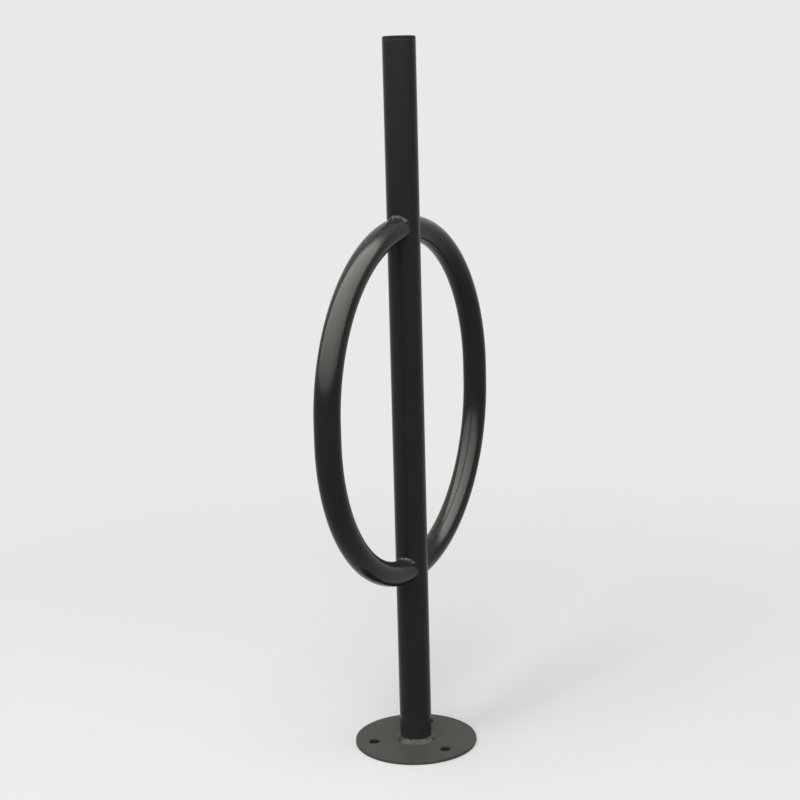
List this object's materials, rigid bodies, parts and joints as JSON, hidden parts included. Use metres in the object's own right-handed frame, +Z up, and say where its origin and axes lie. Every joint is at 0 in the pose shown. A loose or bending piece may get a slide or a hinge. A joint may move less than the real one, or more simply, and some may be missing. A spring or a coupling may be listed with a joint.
{
  "type": "bike rack",
  "caption": "Bollard-style bike rack: capped post on a round anchor plate, with a bent half hoop welded to each side to form an oval ring for locking bicycles.",
  "frame": {"origin": "centre of the base plate's underside, on the ground", "axes": "+Z up along the post, +X along the plane of the hoops towards the right hoop, +Y across that plane"},
  "size_m": [0.4498, 0.1588, 0.9078],
  "materials": {
    "powder_coat": "glossy charcoal powder coat on steel",
    "weld_bead": "glossy charcoal powder coat over rippled steel weld"
  },
  "bodies": {
    "root": {"base_plate": "powder_coat", "post": "powder_coat", "post_cap": "powder_coat", "left_hoop": "powder_coat", "right_hoop": "powder_coat", "base_weld": "weld_bead", "cap_weld": "weld_bead", "lower_left_weld": "weld_bead", "upper_left_weld": "weld_bead", "lower_right_weld": "weld_bead", "upper_right_weld": "weld_bead"}
  },
  "joints": []
}
